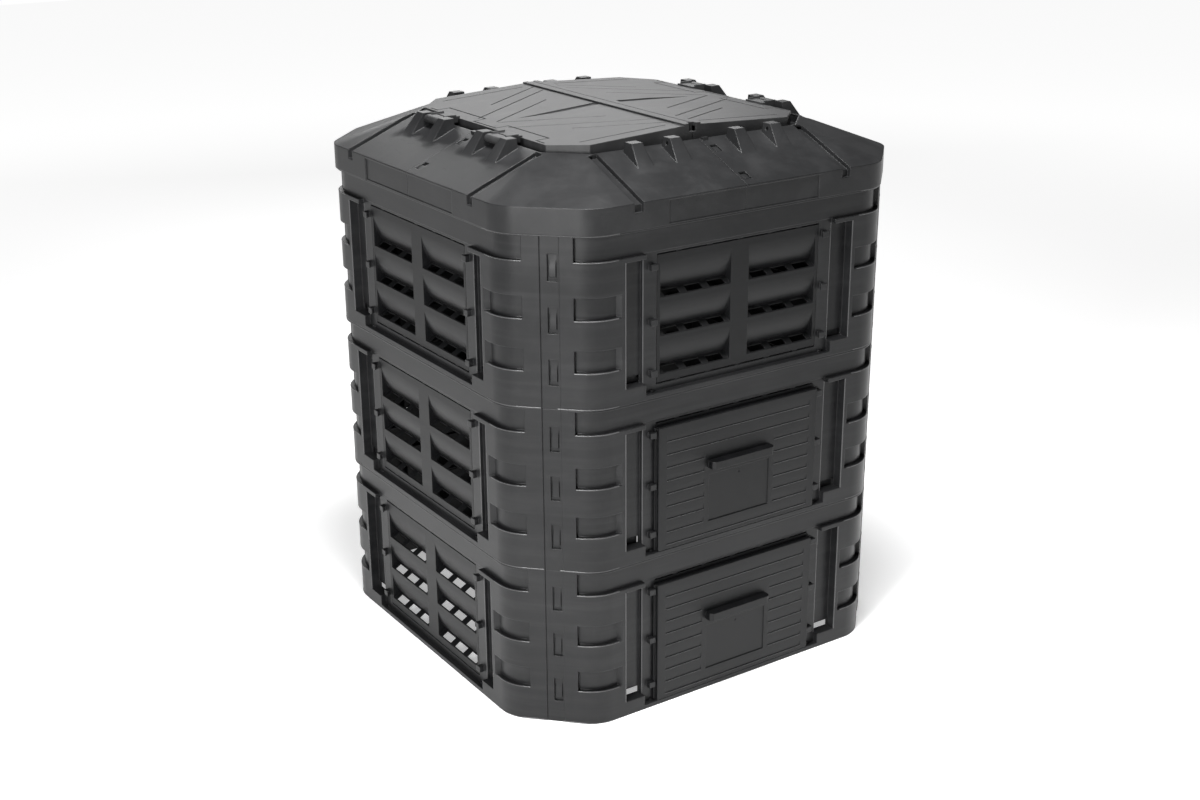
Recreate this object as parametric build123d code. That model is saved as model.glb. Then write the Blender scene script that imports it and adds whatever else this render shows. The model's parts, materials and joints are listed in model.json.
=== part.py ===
from build123d import *
import os
from math import sqrt

# Modular stacking compost bin, millimetres. +Z up, -Y is the front, origin on the ground at the bin's middle.

# Walls and clearances
WALL = 4.0                # moulded wall of panels and roof
SEAM_GAP = 0.4            # open gap between two neighbouring mouldings
SLIP_GAP = 0.3            # gap between a tongue and the wall it passes behind
REACH = 2000.0            # longer than anything, for cutting tools
OVER = 1.0                # how far a cutter runs past the face that it opens

# Plan of the body: a square with its four corners cut and rounded
HALF_WIDTH = 463.0        # outer face of a side
CHAMFER_DISTANCE = HALF_WIDTH * 564 / 463  # outer face of a corner chamfer, from the middle
CORNER_RADIUS = 80.0

# Tiers
TIER_COUNT = 3
TIER_HEIGHT = 330.0
HATCH_TIERS = (1, 2)      # tiers whose front panel carries a hatch

# Recessed bands and pockets of a panel, heights above the tier's foot
POCKET_DEPTH = 9.5
BAND_LOW = TIER_HEIGHT - 49
BAND_HIGH = TIER_HEIGHT - 4
POCKETS = ((72.0, 115.0), (172.0, 215.0))
POCKET_START = 48.0       # from the middle of the chamfer, along the wall
POCKET_RAMP = 7.0         # sloped end wall of a pocket
RIM_WIDTH = 16.0          # flat rim that the next tier stands on

# Sliding hatch, its overall half width and height limits
HATCH_HALF = 196.0
HATCH_LOW = 10.0
HATCH_HIGH = TIER_HEIGHT - 63

# Centre of a panel: a sunk track with a window, and a deep channel each side
TRACK_HALF = HATCH_HALF + 30
TRACK_DEPTH = POCKET_DEPTH + 2.5
SILL_HIGH = HATCH_LOW - 0.5   # flush strip at the track's foot
POCKET_END = TRACK_HALF + 61  # a pocket's end, from the side's middle
CHANNEL_WIDTH = 45.0
CHANNEL_DEPTH = 20.0
CHANNEL_LOW = 31.0
CHANNEL_HIGH = TIER_HEIGHT - 58
CHANNEL_SLOT = 15.0       # height of the through slot at the channel's foot
CHANNEL_SLOT_EDGE = 2.0   # floor left beside that slot
TONGUE_HEIGHT = 47.0      # stacking tongue above the rim
TONGUE_THICK = 4.0
TONGUE_EDGE = 4.0         # room between a tongue and the channel's sides
NIB_WIDTH = 6.0           # small nibs beside the track's foot
NIB_START = HATCH_HALF + 7
NIB_TALL = (4.0, 14.0)
NIB_PROUD = 4.0
WINDOW_HALF = HATCH_HALF - 1.5
WINDOW_LOW = 22.5
WINDOW_HIGH = TIER_HEIGHT - 54.5

# Corner joint: a sunk strip with clip slots over the neighbour's tongue
JOINT_EDGE = -14.0
STRIP_END = 21.6
STRIP_SINK = 1.0
JOINT_TONGUE_END = 30.0
JOINT_ROOT = 12.0         # width of the thick root that carries the tongue
JOINT_TONGUE_LOW = 12.0
JOINT_TONGUE_HIGH = TIER_HEIGHT - 12
CLIP_SLOT_WIDTH = 18.0
CLIP_SLOTS = ((46.0, 96.0), (146.0, 195.0), (245.0, 295.0))
CLIP_SLOT_SKIN = 0.1      # extra depth that opens a slot cleanly through the strip
HOOK_WIDTH = 13.0
HOOK_HEIGHT = 38.0
HOOK_SILL = 7.0  # height of a hook's foot above the slot's sill
HOOK_BACK = 1.5  # a hook's face behind the sunk strip's

# Window insert
INSERT_GAP_SIDE = 1.0
INSERT_GAP_END = 2.5
FLANGE_LAP = 6.0
FLANGE_THICK = 3.0
TAB_WIDTH = 12.0
TAB_PITCH = 72.0
TAB_COUNT = 5
TAB_SINK = 1.0            # tabs behind the insert's face
MULLION = 37.0
COLUMN_WIDTH = WINDOW_HALF - 5 - MULLION / 2
LOUVRE_TOP = TIER_HEIGHT - 65
LOUVRE_LOW = 40.0
LOUVRE_ROWS = 3
LOUVRE_PITCH = (LOUVRE_TOP - LOUVRE_LOW) / LOUVRE_ROWS
LOUVRE_DEPTH = 18.0
LEDGE_DROP = 11.0
LOUVRE_BULGE = 5.0
LIP_HEIGHT = 6.0
VENT_WIDTH = COLUMN_WIDTH * 36.5 / 171
VENT_PITCH = COLUMN_WIDTH * 53 / 171
VENTS_PER_LEDGE = 3
VENT_NEAR = 2.5           # web left at each end of a vent, along the ledge's depth
VENT_FAR = 2.0
VENT_TALL = (4.0, 3.5)    # a vent's cutter below and above the ledge
OPENING_LAP = 10.0        # insert's opening below the last louvre
CHEEK = 3.0
HATCH_FRAME_HALF = HATCH_HALF - 20
HATCH_FRAME_LOW = 42.0
HATCH_FRAME_HIGH = TIER_HEIGHT - 68

# Details of the hatch
HATCH_PROUD = 1.0         # hatch face in front of the body's face
HATCH_BACK = POCKET_DEPTH - 0.5  # depth of its back edge, in front of the sunk band
HATCH_SKIN = 3.0
HATCH_FLANGE = 5.0
HATCH_FLANGE_THICK = 3.0
STOP_RIB = 4.0
STOP_RIB_HALF = HATCH_HALF - 36
STOP_RIB_BITE = 3.0       # rib's reach behind the frame
GRIP_HALF = 76.5
GRIP_LOW = 159.0
GRIP_HIGH = 175.0
GRIP_REACH = 18.0
GRIP_WALL = 5.0           # walls round the finger hollow
GRIP_CHAMFER = 6.0
GRIP_ROUND = 10.0
EDGE_ROUND = 2.0          # rounded edges of the hatch's face
BLANK_HALF = 75.0
BLANK_LOW = 45.0
BLANK_HIGH = 144.0
BLANK_SINK = 1.5
SLAT_SINK = 1.5           # foot of each slat's slope behind the face
SLAT_TALL = 13.0
SLAT_PITCH = 27.0
SLAT_FOOT = 19.5          # foot of the lowest slat
SLAT_ROWS = 9
SLAT_HALF = HATCH_HALF - 19.5
SLAT_INNER = 87.0         # inner ends of the slats beside the blank
FULL_SLATS = (0, 7, 8)    # rows that run the whole width, from the foot
PIP_RADIUS = 2.5
PIP_HEIGHT = 134.0
PIP_SINK = 2.3
KEEPER_HEIGHTS = (47.0, 147.0, 253.0)
KEEPER_WIDTH = 11.0
KEEPER_TALL = 12.0
KEEPER_LAP = 3.5
KEEPER_GAP = 0.5
KEEPER_THICK = 3.0

# Roof
ROOF_BASE = TIER_COUNT * TIER_HEIGHT
ROOF_OVERHANG = 3.5
ROOF_HALF = HALF_WIDTH + ROOF_OVERHANG
ROOF_CHAMFER = CHAMFER_DISTANCE + ROOF_OVERHANG
ROOF_RADIUS = 82.0
ROOF_WALL = 4.0
SKIRT_HIGH = ROOF_BASE + 50
CREST_HALF = HALF_WIDTH - 147
CREST_CHAMFER = CREST_HALF * 396 / 316
CREST_RADIUS = 8.0
CREST_HIGH = ROOF_BASE + 111
CREST_WALL = 4.0
SHELF_HIGH = ROOF_BASE + 94
SHELF_THICK = 4.0
MOUTH_HALF = CREST_HALF - 54  # filling mouth inside the shelf
MOUTH_CHAMFER = MOUTH_HALF * 330 / 262
SKIRT_PANEL_HALF = 178.0
SKIRT_PANEL_SINK = 2.5
GUTTER_CENTRE = 245.0
GUTTER_WIDTH = 20.0
GUTTER_DEPTH = 8.0
GUTTER_NOTCH = ROOF_BASE + 32
SEAT_DEPTH = 12.0
SEAT_INSET = 16.8
SEAT_THICK = 3.0
ROOF_TONGUE = 26.0
SEAM_BLOCK_X = (4.0, 18.0)
SEAM_BLOCK_DEEP = 7.0
SEAM_BLOCK_Z = (CREST_HIGH - 13, CREST_HIGH + 3)
ROOF_SLOT_X = (8.0, 24.0)
ROOF_SLOTS = ((ROOF_HALF - 38.5, ROOF_HALF - 16.5), (ROOF_HALF - 128.5, ROOF_HALF - 106.5))
ROOF_CLIP_MARGIN = 6.0    # clip tongue's width past its slot
ROOF_HOOK_GAP = 2.0
ROOF_HOOK_FREE = 8.0

# Gussets and hinges
GUSSET_CENTRES = (76.5, 164.5)
GUSSET_WIDTH = 30.0
GUSSET_TOP = CREST_HIGH + 16
GUSSET_TOP_R = (CREST_HALF + 6, CREST_HALF + 28)
GUSSET_FOOT_R = CREST_HALF + 62
GUSSET_SINK = 3.0         # foot of a gusset below the slope's face
GUSSET_DRAFT = 0.15       # lean of its sides
HINGE_R = CREST_HALF + 20
HINGE_Z = CREST_HIGH + 5.5
PIN_RADIUS = 4.0
PIN_FIT = 0.03
BORE_FIT = 0.08
PIN_BITE = 20.0           # length of a pin inside each gusset
KNUCKLE_RADIUS = 2 * PIN_RADIUS
KNUCKLE_SIDE_GAP = 1.5
ARM_GAP = 0.5             # gap between a hinge tab and the crest that it passes over

# Lid of two leaves
LID_HALF = CREST_HALF - 20
LID_LEG = LID_HALF * 60 / 296
LID_RIM_LOW = SHELF_HIGH
LID_RIM_HIGH = ROOF_BASE + 121
LID_RIDGE = LID_RIM_HIGH + 15
LID_WALL = 4.0
SPLIT_GAP = 2.0
SPLIT_LIP = 19.0
SPLIT_LIP_HEIGHT = 3.0
SPLIT_RIB_LOW = LID_RIM_HIGH - 11  # foot of the rib under each leaf's inner edge
LIP_LOW = LID_RIM_HIGH - 13  # foot of the raised lip's strip
NOTCH_HALF = 8.0          # notch through the rim at the split
NOTCH_DEPTH = 9.0
NOTCH_LOW = LID_RIM_HIGH + 1
GROOVE_WIDTH = 3.0
GROOVE_DEPTH = 1.5
# Straight grooves of one quadrant, from the middle outwards, then the border's corners
GROOVES = (((77.0, 4.0), (258.0, 110.0)), ((27.0, 59.0), (268.0, 202.0)), ((22.0, 154.0), (182.0, 246.0)))
BORDER_FRONT = ((42.0, 262.0), (236.0, 262.0))
BORDER_SIDE = ((289.0, 220.0), (289.0, 192.0), (261.0, 192.0), (261.0, 44.0), (289.0, 44.0), (289.0, 0.0))
VALLEY = ((-214.0, 0.0), (-120.0, -13.0), (-21.0, -8.0), (-21.0, 12.0))
VALLEY_DEPTH = 2.5
TAB_RIB = 4.0             # upright ribs at both ends of a hinge tab
TAB_RIB_R = (HINGE_R - 36, HINGE_R - 8)
TAB_RIB_HIGH = 3.0
TAB_SLOT_R = (HINGE_R - 19, HINGE_R - 15)
TAB_SLOT_DEPTH = 3.0
TAB_SLOT_MARGIN = 8.0

SLOPE = (CREST_HIGH - SKIRT_HIGH) / (ROOF_HALF - CREST_HALF)
SKIN_DROP = sqrt(1 + SLOPE**2) - SLOPE    # drop of a sloped skin for each unit of inset
ARM_TALL = (CREST_HIGH + ARM_GAP, HINGE_Z + KNUCKLE_RADIUS)
PIN_START = GUSSET_CENTRES[0] + GUSSET_WIDTH / 2 - PIN_BITE
PIN_END = GUSSET_CENTRES[1] - GUSSET_WIDTH / 2 + PIN_BITE


def outline(half, chamfer_distance, radius):
    """Plan of the body: square with cut, rounded corners."""
    near = chamfer_distance * sqrt(2) - half
    corners = [(half, near), (near, half), (-near, half), (-half, near)]
    corners += [(-half, -near), (-near, -half), (near, -half), (half, -near)]
    with BuildSketch() as sketch:
        with BuildLine():
            FilletPolyline(*corners, radius=radius, close=True)
        make_face()
    return sketch.sketch


def body_outline(inset):
    return outline(HALF_WIDTH - inset, CHAMFER_DISTANCE - inset, CORNER_RADIUS - inset)


def ring(inset_out, inset_in, low, high):
    """Upright wall that follows the body's plan, between two insets."""
    outer = extrude(body_outline(inset_out), amount=high - low)
    inner = extrude(body_outline(inset_in), amount=high - low)
    return Pos(0, 0, low) * (outer - inner)


# Local frames: x along the wall to the right, y inward from its outer face, z up
HALF_DIAGONAL = CHAMFER_DISTANCE / sqrt(2)
FRONT = Plane(origin=(0, -HALF_WIDTH, 0), x_dir=(1, 0, 0), z_dir=(0, 0, 1))
LEFT_CORNER = Plane(origin=(-HALF_DIAGONAL, -HALF_DIAGONAL, 0), x_dir=(1, -1, 0), z_dir=(0, 0, 1))
RIGHT_CORNER = Plane(origin=(HALF_DIAGONAL, -HALF_DIAGONAL, 0), x_dir=(1, 1, 0), z_dir=(0, 0, 1))


def block(frame, along, depth, height):
    """Box between pairs of limits in a local frame."""
    sizes = [high - low for low, high in (along, depth, height)]
    middle = [(high + low) / 2 for low, high in (along, depth, height)]
    return frame.location * Pos(*middle) * Box(*sizes)


def both_sides(low, high):
    return ((low, high), (-high, -low))


def pocket_zone(side):
    """Plan region of a corner pocket: from beside the joint to near the side's middle."""
    corner = LEFT_CORNER if side < 0 else RIGHT_CORNER
    chamfer_part = (POCKET_START, REACH) if side < 0 else (-REACH, -POCKET_START)
    zone = block(corner, chamfer_part, (-REACH, REACH), (-REACH, REACH))
    side_part = (-REACH, -POCKET_END) if side < 0 else (POCKET_END, REACH)
    return zone & block(FRONT, side_part, (-REACH, REACH), (-REACH, REACH))


def pocket_box_zone(side):
    """The same region, one wall larger, for the wall behind the pocket."""
    corner = LEFT_CORNER if side < 0 else RIGHT_CORNER
    start = POCKET_START - WALL
    end = POCKET_END - POCKET_RAMP - WALL
    chamfer_part = (start, REACH) if side < 0 else (-REACH, -start)
    side_part = (-REACH, -end) if side < 0 else (end, REACH)
    zone = block(corner, chamfer_part, (-REACH, REACH), (-REACH, REACH))
    return zone & block(FRONT, side_part, (-REACH, REACH), (-REACH, REACH))


def pocket_ramp(side, low, high):
    """Sloped end of a pocket, from its floor out to the wall's face."""
    points = [(0, POCKET_DEPTH), (0, -1), (-POCKET_RAMP, -1), (-POCKET_RAMP, 0)]
    with BuildSketch() as sketch:
        with BuildLine():
            Polyline(*points, close=True)
        make_face()
    wedge = extrude(sketch.sketch, amount=high - low)
    wedge = FRONT.location * Pos(POCKET_END, 0, low) * wedge
    return wedge if side > 0 else mirror(wedge, about=Plane.YZ)


MIDDLE_HALF = TRACK_HALF + CHANNEL_WIDTH + WALL
BAND_INNER = POCKET_DEPTH + WALL
TRACK_INNER = TRACK_DEPTH + WALL
EVERY_DEPTH = (-REACH, REACH)
EVERY_HEIGHT = (-REACH, REACH)


def corner_walls():
    """Outer wall, flat rim and the recessed pockets that run round both corners."""
    panel = ring(0, WALL, 0, TIER_HEIGHT)
    panel += ring(0, RIM_WIDTH, BAND_HIGH, TIER_HEIGHT)
    pocket_walls = [ring(WALL / 2, BAND_INNER, BAND_LOW - WALL, TIER_HEIGHT)]
    pocket_cuts = [ring(-OVER, POCKET_DEPTH, BAND_LOW, BAND_HIGH)]
    for low, high in POCKETS:
        pocket_walls.append(ring(WALL / 2, BAND_INNER, low - WALL, high + WALL))
        pocket_cuts.append(ring(-OVER, POCKET_DEPTH, low, high))
    for side in (-1, 1):
        for wall in pocket_walls:
            panel += wall & pocket_box_zone(side)
        for cut in pocket_cuts:
            panel -= cut & pocket_zone(side)
        for low, high in POCKETS:
            panel -= pocket_ramp(side, low, high)
    return panel


def lay_middle(panel):
    """Clears the middle of the side, then lays in band, rim, sunk track, channels and window."""
    front = (-OVER, RIM_WIDTH + CHANNEL_DEPTH)
    panel -= block(FRONT, (-MIDDLE_HALF, MIDDLE_HALF), front, (-OVER, TIER_HEIGHT + OVER))
    panel -= block(FRONT, (-POCKET_END, POCKET_END), (-OVER, POCKET_DEPTH), (BAND_LOW, BAND_HIGH))
    band = (BAND_LOW - WALL, TIER_HEIGHT)
    panel += block(FRONT, (-POCKET_END, POCKET_END), (POCKET_DEPTH, BAND_INNER), band)
    panel += block(FRONT, (-MIDDLE_HALF, MIDDLE_HALF), (0, RIM_WIDTH), (BAND_HIGH, TIER_HEIGHT))
    track = (TRACK_DEPTH, TRACK_INNER)
    panel += block(FRONT, (-TRACK_HALF, TRACK_HALF), track, (0, BAND_LOW + WALL / 2))
    channel_tall = (CHANNEL_LOW - WALL, CHANNEL_HIGH + WALL)
    for low, high in both_sides(TRACK_HALF - WALL, MIDDLE_HALF):
        panel += block(FRONT, (low, high), (0, WALL), (0, BAND_LOW))
        panel += block(FRONT, (low, high), (0, TRACK_INNER), (CHANNEL_HIGH, BAND_LOW))
    for low, high in both_sides(TRACK_HALF - WALL, TRACK_HALF):
        panel += block(FRONT, (low, high), (TRACK_DEPTH, CHANNEL_DEPTH + WALL), channel_tall)
    for low, high in both_sides(TRACK_HALF, MIDDLE_HALF):
        panel += block(FRONT, (low, high), (WALL / 2, CHANNEL_DEPTH + WALL), channel_tall)
    for low, high in both_sides(TRACK_HALF, TRACK_HALF + CHANNEL_WIDTH):
        panel -= block(FRONT, (low, high), (-OVER, CHANNEL_DEPTH), (CHANNEL_LOW, CHANNEL_HIGH))
        slot = (low + CHANNEL_SLOT_EDGE, high - CHANNEL_SLOT_EDGE)
        through = (-OVER, CHANNEL_DEPTH + WALL + OVER)
        panel -= block(FRONT, slot, through, (CHANNEL_LOW, CHANNEL_LOW + CHANNEL_SLOT))
    for low, high in both_sides(TRACK_HALF, TRACK_HALF + WALL):
        panel += block(FRONT, (low, high), (0, TRACK_INNER), (0, CHANNEL_LOW))

    # The track is sunk from its flush sill up to the band, and a hatch slides up in front of the band
    panel -= block(FRONT, (-TRACK_HALF, TRACK_HALF), (-OVER, TRACK_DEPTH), (SILL_HIGH, BAND_LOW))
    panel += block(FRONT, (-TRACK_HALF, TRACK_HALF), (0, TRACK_INNER), (0, SILL_HIGH))
    window = (WINDOW_LOW, WINDOW_HIGH)
    return panel - block(FRONT, (-WINDOW_HALF, WINDOW_HALF), (0, RIM_WIDTH + WALL), window)


def keepers():
    """Hooked blocks that hold a hatch's flanges against the track, and nibs at its foot."""
    pieces = []
    out = HATCH_HALF + HATCH_FLANGE + KEEPER_GAP
    back = HATCH_BACK - HATCH_FLANGE_THICK - KEEPER_GAP
    for height in KEEPER_HEIGHTS:
        tall = (height - KEEPER_TALL / 2, height + KEEPER_TALL / 2)
        for along in both_sides(out, out + KEEPER_WIDTH):
            pieces.append(block(FRONT, along, (back - KEEPER_THICK, TRACK_DEPTH), tall))
        for along in both_sides(out - KEEPER_LAP, out):
            pieces.append(block(FRONT, along, (back - KEEPER_THICK, back), tall))
    for along in both_sides(NIB_START, NIB_START + NIB_WIDTH):
        pieces.append(block(FRONT, along, (TRACK_DEPTH - NIB_PROUD, TRACK_DEPTH), NIB_TALL))
    return pieces


def stacking_tongues():
    """Tongues that stand up behind the channels of the tier above."""
    pieces = []
    face = CHANNEL_DEPTH + WALL + SLIP_GAP
    for along in both_sides(TRACK_HALF + TONGUE_EDGE, TRACK_HALF + CHANNEL_WIDTH - TONGUE_EDGE):
        tall = (BAND_HIGH, TIER_HEIGHT + TONGUE_HEIGHT)
        pieces.append(block(FRONT, along, (face, face + TONGUE_THICK), tall))
        pieces.append(block(FRONT, along, (RIM_WIDTH - OVER, face + OVER), (BAND_HIGH, TIER_HEIGHT)))
    return pieces


def clip_hook(low):
    """Hook of the corner joint, with a face that slopes out towards its foot."""
    behind = WALL + STRIP_SINK + SLIP_GAP + OVER
    front = STRIP_SINK + HOOK_BACK
    foot = low + HOOK_SILL
    points = [(behind, foot), (front, foot), (front, foot + HOOK_HEIGHT / 2), (behind, foot + HOOK_HEIGHT)]
    side = Plane(origin=((CLIP_SLOT_WIDTH - HOOK_WIDTH) / 2, 0, 0), x_dir=(0, 1, 0), z_dir=(1, 0, 0))
    hook = extrude(side * make_face(Polyline(*points, close=True)), amount=HOOK_WIDTH)
    return RIGHT_CORNER.location * hook


def join_corners(panel):
    """Left end: sunk strip with clip slots. Right end: tongue with hooks."""
    edge = JOINT_EDGE - SEAM_GAP
    panel -= block(LEFT_CORNER, (-REACH, JOINT_EDGE), EVERY_DEPTH, EVERY_HEIGHT)
    panel -= block(RIGHT_CORNER, (edge, REACH), EVERY_DEPTH, EVERY_HEIGHT)
    strip = (JOINT_EDGE - OVER, STRIP_END)
    panel -= block(LEFT_CORNER, strip, (-OVER, STRIP_SINK), (-OVER, TIER_HEIGHT + OVER))
    panel += block(LEFT_CORNER, (JOINT_EDGE, STRIP_END), (WALL / 2, WALL + STRIP_SINK), (0, TIER_HEIGHT))
    tongue_out = WALL + STRIP_SINK + SLIP_GAP
    tall = (JOINT_TONGUE_LOW, JOINT_TONGUE_HIGH)
    deep = (tongue_out, tongue_out + TONGUE_THICK)
    panel += block(RIGHT_CORNER, (edge - JOINT_ROOT, edge), (WALL / 2, deep[1]), tall)
    panel += block(RIGHT_CORNER, (edge - OVER, JOINT_TONGUE_END), deep, tall)
    for low, high in CLIP_SLOTS:
        through = (-OVER, WALL + STRIP_SINK + CLIP_SLOT_SKIN)
        panel -= block(LEFT_CORNER, (0, CLIP_SLOT_WIDTH), through, (low, high))
        panel += clip_hook(low)
    return panel


def build_panel():
    """One side of one tier, front position, tier's foot at z = 0."""
    panel = lay_middle(corner_walls())
    for piece in keepers() + stacking_tongues():
        panel += piece
    return join_corners(panel)


def louvre_profile(shift):
    """Side outline of one louvre column, as (depth, height) from the track's face."""
    lines = []
    front = TRACK_DEPTH + shift
    start = (front, WINDOW_HIGH - INSERT_GAP_END)
    for row in range(LOUVRE_ROWS):
        top = LOUVRE_TOP - row * LOUVRE_PITCH - (0 if row == 0 else LIP_HEIGHT)
        bottom = LOUVRE_TOP - (row + 1) * LOUVRE_PITCH
        deep = front + LOUVRE_DEPTH
        valley = bottom + LEDGE_DROP
        bulge = (front + LOUVRE_DEPTH / 2 - LOUVRE_BULGE, (top + valley) / 2 - LOUVRE_BULGE / 3)
        lines.append(Line(start, (front, top)))
        lines.append(ThreePointArc((front, top), bulge, (deep, valley)))
        lines.append(Line((deep, valley), (front, bottom)))
        start = (front, bottom)
    lines.append(Line(start, (front, WINDOW_LOW + INSERT_GAP_END)))
    return lines


def insert_plane(along):
    """Plane across the wall: local x is depth behind the outer face, local y is height."""
    return Plane(origin=(along, -HALF_WIDTH, 0), x_dir=(0, 1, 0), z_dir=(1, 0, 0))


def side_section(lines, back_lines, along, width):
    """Solid between two side outlines, extruded along the wall."""
    top = Line(lines[0] @ 0, back_lines[0] @ 0)
    bottom = Line(lines[-1] @ 1, back_lines[-1] @ 1)
    face = make_face(lines + back_lines + [top, bottom])
    return extrude(insert_plane(along) * face, amount=width)


def insert_frame(open_half, open_low, open_high):
    """Plate that fills a window, with a flange behind the panel and tabs at top and bottom."""
    half = WINDOW_HALF - INSERT_GAP_SIDE
    low = WINDOW_LOW + INSERT_GAP_END
    high = WINDOW_HIGH - INSERT_GAP_END
    depth = (TRACK_DEPTH, TRACK_DEPTH + WALL)
    behind = (TRACK_DEPTH + WALL, TRACK_DEPTH + WALL + FLANGE_THICK)
    lap = WINDOW_HALF + FLANGE_LAP
    plate = block(FRONT, (-half, half), depth, (low, high))
    plate += block(FRONT, (-lap, lap), behind, (WINDOW_LOW - FLANGE_LAP, WINDOW_HIGH + FLANGE_LAP))
    tab_depth = (TRACK_DEPTH + TAB_SINK, TRACK_DEPTH + WALL)
    for index in range(TAB_COUNT):
        middle = (index - (TAB_COUNT - 1) / 2) * TAB_PITCH
        along = (middle - TAB_WIDTH / 2, middle + TAB_WIDTH / 2)
        plate += block(FRONT, along, tab_depth, (WINDOW_LOW, low))
        plate += block(FRONT, along, tab_depth, (high, WINDOW_HIGH))
    cut_depth = (TRACK_DEPTH - OVER, behind[1] + OVER)
    plate -= block(FRONT, (-open_half, open_half), cut_depth, (open_low, open_high))
    return plate


def vent_section(foot):
    """Side outline of the hole through a ledge whose front edge is at height foot."""
    slope = LEDGE_DROP / LOUVRE_DEPTH
    far = LOUVRE_DEPTH - VENT_FAR
    below, above = VENT_TALL
    drawn = [(VENT_NEAR, VENT_NEAR * slope - below), (VENT_NEAR, VENT_NEAR * slope + below)]
    drawn += [(far, far * slope + above), (far, far * slope - below)]
    points = [(TRACK_DEPTH + depth, foot + height) for depth, height in drawn]
    return make_face(Polyline(*points, close=True))


def build_louvre():
    """Window insert with two columns of louvres and vents in their ledges."""
    edge = MULLION / 2 + COLUMN_WIDTH
    insert = insert_frame(edge, LOUVRE_LOW - OPENING_LAP, LOUVRE_TOP)
    mullion_tall = (LOUVRE_LOW - OPENING_LAP - OVER, LOUVRE_TOP + OVER)
    mullion_deep = (TRACK_DEPTH, TRACK_DEPTH + WALL)
    insert += block(FRONT, (-MULLION / 2, MULLION / 2), mullion_deep, mullion_tall)
    outer = louvre_profile(0)
    inner = louvre_profile(WALL)
    top_point = (TRACK_DEPTH, WINDOW_HIGH - INSERT_GAP_END)
    low_point = (TRACK_DEPTH, WINDOW_LOW + INSERT_GAP_END)
    front_line = [Line(top_point, low_point)]
    for start in (MULLION / 2, -edge):
        insert += side_section(outer, inner, start, COLUMN_WIDTH)
        for cheek in (start, start + COLUMN_WIDTH - CHEEK):
            insert += side_section(front_line, inner, cheek, CHEEK)
        for row in range(LOUVRE_ROWS):
            cutter = vent_section(LOUVRE_TOP - (row + 1) * LOUVRE_PITCH)
            for vent in range(VENTS_PER_LEDGE):
                offset = (vent - (VENTS_PER_LEDGE - 1) / 2) * VENT_PITCH - VENT_WIDTH / 2
                along = start + COLUMN_WIDTH / 2 + offset
                insert -= extrude(insert_plane(along) * cutter, amount=VENT_WIDTH)
    return insert


def build_hatch_frame():
    return insert_frame(HATCH_FRAME_HALF, HATCH_FRAME_LOW, HATCH_FRAME_HIGH)


def slat(low_x, high_x, foot):
    """Cutter for one slat: a shallow recess that slopes in from its top down to its foot."""
    face = -HATCH_PROUD
    top = foot + SLAT_TALL
    points = [(face - OVER, foot), (face + SLAT_SINK, foot), (face, top), (face - OVER, top)]
    section = make_face(Polyline(*points, close=True))
    return extrude(insert_plane(low_x) * section, amount=high_x - low_x)


def build_grip():
    """Grip bar, hollow below for the fingers, bevelled at its left end and round at its right."""
    face = -HATCH_PROUD
    tall = (GRIP_LOW, GRIP_HIGH)
    grip = block(FRONT, (-GRIP_HALF, GRIP_HALF), (face - GRIP_REACH, face + OVER), tall)
    outer = grip.faces().sort_by(Axis.Y)[0]
    uprights = outer.edges().filter_by(Axis.Z).sort_by(Axis.X)
    grip = fillet(uprights[1], GRIP_ROUND)
    outer = grip.faces().filter_by(Axis.Y).sort_by(Axis.Y)[0]
    left = outer.edges().filter_by(Axis.Z).sort_by(Axis.X)[0]
    grip = chamfer(left, GRIP_CHAMFER)
    finger = (face - GRIP_REACH + GRIP_WALL, face)
    hollow = (GRIP_LOW - OVER, GRIP_HIGH - GRIP_WALL)
    inside = GRIP_HALF - GRIP_ROUND
    return grip - block(FRONT, (-inside, inside), finger, hollow)


def build_hatch():
    """Hollow-backed sliding hatch with slats, a grip and side flanges."""
    face = -HATCH_PROUD
    tall = (HATCH_LOW, HATCH_HIGH)
    hatch = block(FRONT, (-HATCH_HALF, HATCH_HALF), (face, HATCH_BACK), tall)
    hatch = fillet(hatch.faces().sort_by(Axis.Y)[0].edges(), EDGE_ROUND)
    inside = HATCH_HALF - HATCH_SKIN
    hollow_tall = (HATCH_LOW + HATCH_SKIN, HATCH_HIGH - HATCH_SKIN)
    hatch -= block(FRONT, (-inside, inside), (face + HATCH_SKIN, HATCH_BACK + OVER), hollow_tall)
    flange = (HATCH_BACK - HATCH_FLANGE_THICK, HATCH_BACK)
    for low, high in both_sides(HATCH_HALF - OVER, HATCH_HALF + HATCH_FLANGE):
        hatch += block(FRONT, (low, high), flange, tall)
    blank = (face - OVER, face + BLANK_SINK)
    hatch -= block(FRONT, (-BLANK_HALF, BLANK_HALF), blank, (BLANK_LOW, BLANK_HIGH))
    pip = Cylinder(PIP_RADIUS, PIP_SINK, rotation=(90, 0, 0))
    hatch -= FRONT.location * Pos(0, face + PIP_SINK / 2, PIP_HEIGHT) * pip
    for row in range(SLAT_ROWS):
        foot = SLAT_FOOT + row * SLAT_PITCH
        if row in FULL_SLATS:
            hatch -= slat(-SLAT_HALF, SLAT_HALF, foot)
        else:
            hatch -= slat(-SLAT_HALF, -SLAT_INNER, foot)
            hatch -= slat(SLAT_INNER, SLAT_HALF, foot)
    hatch += build_grip()
    rib_depth = (face + OVER, TRACK_DEPTH + WALL + FLANGE_THICK + STOP_RIB_BITE)
    rib_tall = (HATCH_FRAME_LOW, HATCH_FRAME_LOW + STOP_RIB)
    return hatch + block(FRONT, (-STOP_RIB_HALF, STOP_RIB_HALF), rib_depth, rib_tall)


def roof_outline(inset):
    return outline(ROOF_HALF - inset, ROOF_CHAMFER - inset, ROOF_RADIUS - inset)


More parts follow.
